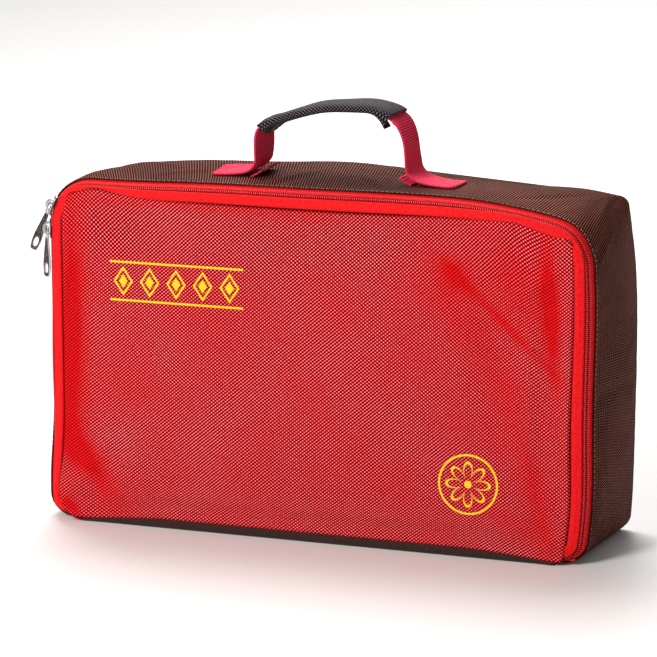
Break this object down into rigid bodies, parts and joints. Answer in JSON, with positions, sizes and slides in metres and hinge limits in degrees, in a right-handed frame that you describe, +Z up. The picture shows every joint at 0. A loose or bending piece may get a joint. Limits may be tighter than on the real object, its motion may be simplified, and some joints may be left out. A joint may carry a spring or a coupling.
{
  "type": "soft game case",
  "caption": "Soft rectangular case for a set of game tiles, with a zipped padded front flap, a cloth gusset, two zip sliders with pulls and a webbing top handle.",
  "frame": {"origin": "middle of the base, on the surface the bag stands on", "axes": "+X along the width, +Y towards the back (the zipped front faces -Y), +Z up"},
  "size_m": [0.3538, 0.0977, 0.2603],
  "materials": {
    "red_panel_cloth": "glossy coarse twill, red",
    "red_band": "smooth binding tape, bright red",
    "red_zip_tape": "zip tape, red",
    "zip_coil": "nylon coil, dark red",
    "brown_cloth": "glossy coarse twill, dark brown",
    "foam": "soft padding foam, off-white",
    "board": "stiffening board",
    "lining": "thin plain lining, dark",
    "binding_tape": "folded seam tape, dark brown",
    "red_webbing": "ribbed webbing, red",
    "sleeve_cloth": "coarse plain weave, black",
    "red_thread": "sewing thread, red",
    "slider_metal": "plated zinc, silver",
    "pull_metal": "dark plated zinc with bright edges",
    "stop_metal": "crimped metal stops"
  },
  "bodies": {
    "root": {"back_panel": "brown_cloth", "back_board": "board", "back_lining": "lining", "back_seam_binding": "binding_tape", "gusset_strip": "brown_cloth", "gusset_foam": "foam", "gusset_lining": "lining", "bottom_gusset": "brown_cloth", "bottom_board": "board", "bottom_lining": "lining", "hinge_seam_binding": "binding_tape", "gusset_zip_tape": "red_zip_tape", "gusset_zip_coil": "zip_coil", "zip_end_stops": "stop_metal", "handle_left_foot": "red_webbing", "handle_right_foot": "red_webbing", "handle_foot_stitching": "red_thread", "handle_backing_patches": "binding_tape"},
    "front_flap": {"front_panel": "red_panel_cloth", "front_foam": "foam", "front_lining": "lining", "front_zip_binding": "red_band", "front_zip_tape": "red_zip_tape", "front_zip_coil": "zip_coil", "front_seam_binding": "binding_tape"},
    "handle": {"handle_strap": "red_webbing", "handle_grip_sleeve": "sleeve_cloth"},
    "lower_slider": {"lower_slider_body": "slider_metal", "lower_slider_bail": "slider_metal"},
    "lower_pull": {"lower_pull_eye": "slider_metal", "lower_pull_tab": "pull_metal"},
    "upper_slider": {"upper_slider_body": "slider_metal", "upper_slider_bail": "slider_metal"},
    "upper_pull": {"upper_pull_eye": "slider_metal", "upper_pull_tab": "pull_metal"}
  },
  "joints": [
    {"name": "front_hinge", "type": "hinge", "parent": "root", "child": "front_flap", "pos_m": [0, -0.0465, 0.004], "axis": [1, 0, 0], "range_deg": [0, 180]},
    {"name": "handle_tilt", "type": "hinge", "parent": "root", "child": "handle", "pos_m": [0, 0, 0.2269], "axis": [1, 0, 0], "range_deg": [-80, 80], "stiffness_Nm_per_rad": 0.03},
    {"name": "lower_slider_travel", "type": "slide", "parent": "root", "child": "lower_slider", "axis": [0, 0, -1], "range_m": [0, 0.145]},
    {"name": "lower_pull_swing", "type": "hinge", "parent": "lower_slider", "child": "lower_pull", "pos_m": [-0.16952, -0.04405, 0.1785], "axis": [-0.5, 0.866, 0], "range_deg": [0, 35]},
    {"name": "upper_slider_travel", "type": "hinge", "parent": "root", "child": "upper_slider", "pos_m": [-0.142, -0.0419, 0.182], "axis": [0, 1, 0], "range_deg": [0, 56]},
    {"name": "upper_pull_swing", "type": "hinge", "parent": "upper_slider", "child": "upper_pull", "pos_m": [-0.16734, -0.04405, 0.19275], "axis": [-0.4603, 0.866, 0.1954], "range_deg": [0, 150]}
  ]
}
